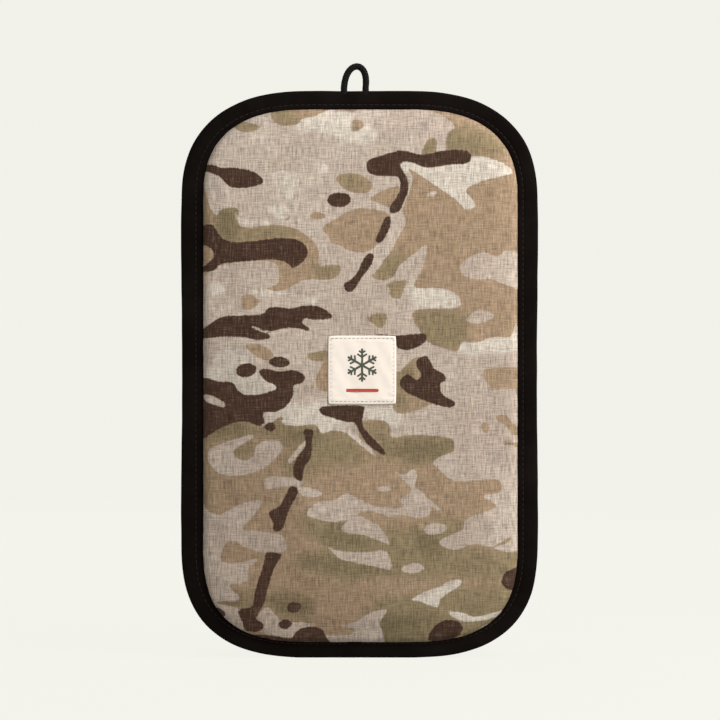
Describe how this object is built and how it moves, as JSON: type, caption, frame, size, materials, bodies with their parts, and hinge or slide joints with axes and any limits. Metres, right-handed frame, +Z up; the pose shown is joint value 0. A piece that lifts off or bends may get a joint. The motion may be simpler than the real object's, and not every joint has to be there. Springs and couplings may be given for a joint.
{
  "type": "insulated cooler bag",
  "caption": "Tall rounded insulated cooler bag with a padded camouflage front panel that zips open and folds down, foil lining, black bound edges, a woven label and a cord hang loop.",
  "frame": {"origin": "on the ground, under the middle of the bag's bounding box", "axes": "+Z up, the hang loop on top; the labelled front panel faces -Y; +X to the viewer's right"},
  "size_m": [0.248, 0.1002, 0.4154],
  "materials": {
    "camo_cloth": "matte",
    "foam": "matte",
    "foil_lining": "satin",
    "binding_tape": "satin",
    "zip_tape": "matte",
    "zip_coil": "satin",
    "label_cloth": "matte",
    "cord": "matte",
    "black_metal": "satin",
    "grip_rubber": "matte",
    "steel": "satin"
  },
  "bodies": {
    "box": {"back_panel_cloth": "camo_cloth", "back_foam": "foam", "back_liner": "foil_lining", "back_binding": "binding_tape", "gusset_cloth": "camo_cloth", "gusset_foam": "foam", "gusset_liner": "foil_lining", "bottom_cloth": "camo_cloth", "bottom_foam": "foam", "bottom_liner": "foil_lining", "hinge_strip": "binding_tape", "rear_zip_tape": "zip_tape", "rear_zip_coil": "zip_coil", "zip_stop_left": "steel", "zip_stop_right": "steel", "zip_tab_left": "binding_tape", "zip_tab_right": "binding_tape"},
    "door": {"front_panel_cloth": "camo_cloth", "front_foam": "foam", "front_liner": "foil_lining", "front_binding": "binding_tape", "front_zip_tape": "zip_tape", "front_zip_coil": "zip_coil", "label": "label_cloth"},
    "loop": {"hang_loop": "cord"},
    "left_slider": {"slider_left": "black_metal"},
    "right_slider": {"slider_right": "black_metal"},
    "left_pull": {"pull_left": "black_metal", "pull_grip_left": "grip_rubber"},
    "right_pull": {"pull_right": "black_metal", "pull_grip_right": "grip_rubber"}
  },
  "joints": [
    {"name": "front_panel_hinge", "type": "hinge", "parent": "box", "child": "door", "pos_m": [0, -0.037, 0.011], "axis": [1, 0, 0], "range_deg": [0, 85]},
    {"name": "loop_bend", "type": "hinge", "parent": "door", "child": "loop", "pos_m": [-0.0034, -0.0392, 0.3984], "axis": [1, 0, 0], "range_deg": [-45, 75]},
    {"name": "left_slide", "type": "slide", "parent": "box", "child": "left_slider", "axis": [-1, 0, 0], "range_m": [0, 0.035]},
    {"name": "right_slide", "type": "slide", "parent": "box", "child": "right_slider", "axis": [1, 0, 0], "range_m": [0, 0.035]},
    {"name": "left_pull_swing", "type": "hinge", "parent": "left_slider", "child": "left_pull", "pos_m": [-0.0119, -0.021, 0.39], "axis": [0, 1, 0], "range_deg": [0, 100]},
    {"name": "right_pull_swing", "type": "hinge", "parent": "right_slider", "child": "right_pull", "pos_m": [0.0119, -0.021, 0.39], "axis": [0, -1, 0], "range_deg": [0, 100]}
  ]
}
